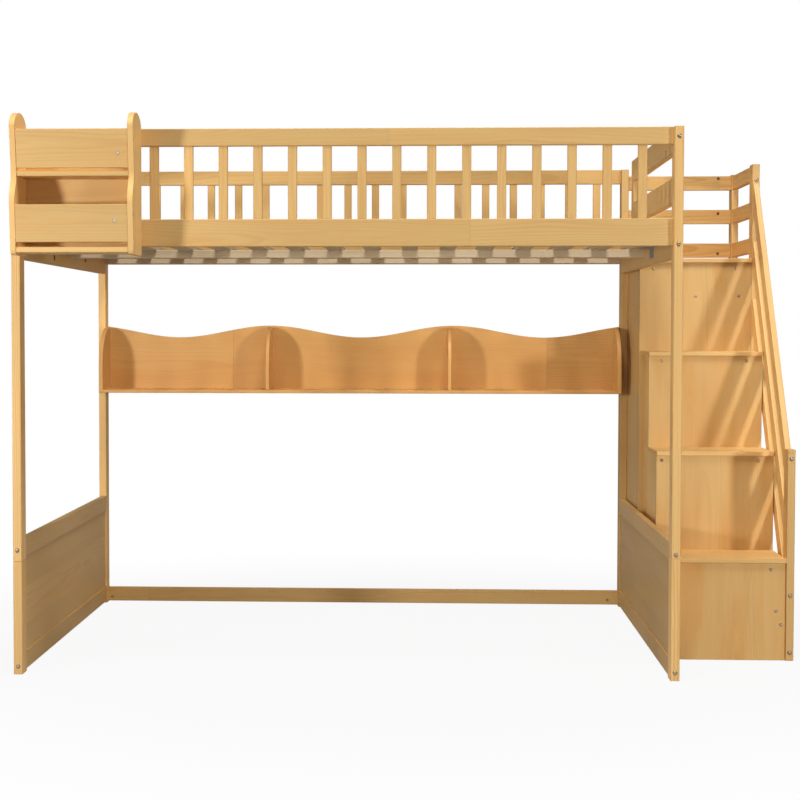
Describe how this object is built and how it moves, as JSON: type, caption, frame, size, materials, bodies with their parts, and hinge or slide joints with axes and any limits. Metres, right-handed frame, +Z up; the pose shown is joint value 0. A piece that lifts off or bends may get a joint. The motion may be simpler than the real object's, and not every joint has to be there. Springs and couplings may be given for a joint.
{
  "type": "loft bed",
  "caption": "Pine loft bed with a slatted deck, spindle guards, a storage stair with slanted handrails and a railed landing, a hanging rack and a waved wall shelf.",
  "frame": {"origin": "on the floor, below the middle of the whole object's box", "axes": "+X from the bed's plain end to the stair, +Y from the open front to the wall, +Z up"},
  "size_m": [2.382, 1.578, 1.665],
  "materials": {
    "pine": "satin clear honey finish",
    "slat_pine": "unfinished planed",
    "steel": "zinc plated"
  },
  "bodies": {
    "root": {"deck_bracket": "steel", "end_board_left": "pine", "end_board_right": "pine", "end_guard_lower_left": "pine", "end_guard_lower_right": "pine", "end_guard_upper_left": "pine", "end_guard_upper_right": "pine", "end_panel_rail_lower_left": "pine", "end_panel_rail_lower_right": "pine", "end_panel_rail_upper_left": "pine", "end_panel_rail_upper_right": "pine", "end_panel_sheet_left": "pine", "end_panel_sheet_right": "pine", "entry_post": "pine", "guard_back": "pine", "guard_front": "pine", "handrail_1": "pine", "handrail_2": "pine", "handrail_3": "pine", "landing": "pine", "landing_rail_back_1": "pine", "landing_rail_back_2": "pine", "landing_rail_back_3": "pine", "landing_rail_side_1": "pine", "landing_rail_side_2": "pine", "landing_rail_side_3": "pine", "newel_post": "pine", "post_back_left": "pine", "post_back_right": "pine", "post_front_left": "pine", "post_front_right": "pine", "rack_back": "pine", "rack_floor": "pine", "rack_front_lower": "pine", "rack_front_upper": "pine", "rack_shelf": "pine", "rack_side_left": "pine", "rack_side_right": "pine", "riser_1": "pine", "riser_2": "pine", "riser_3": "pine", "riser_4": "pine", "shelf_back": "pine", "shelf_divider_1": "pine", "shelf_divider_2": "pine", "shelf_end_left": "pine", "shelf_end_right": "pine", "shelf_floor": "pine", "side_rail_back": "pine", "side_rail_front": "pine", "slat_deck": "slat_pine", "stair_back": "pine", "stair_case_front": "pine", "stair_case_landing": "pine", "stair_corner_post": "pine", "stair_top_post": "pine", "stretcher_back": "pine", "tread_1": "pine", "tread_2": "pine", "tread_3": "pine"}
  },
  "joints": []
}
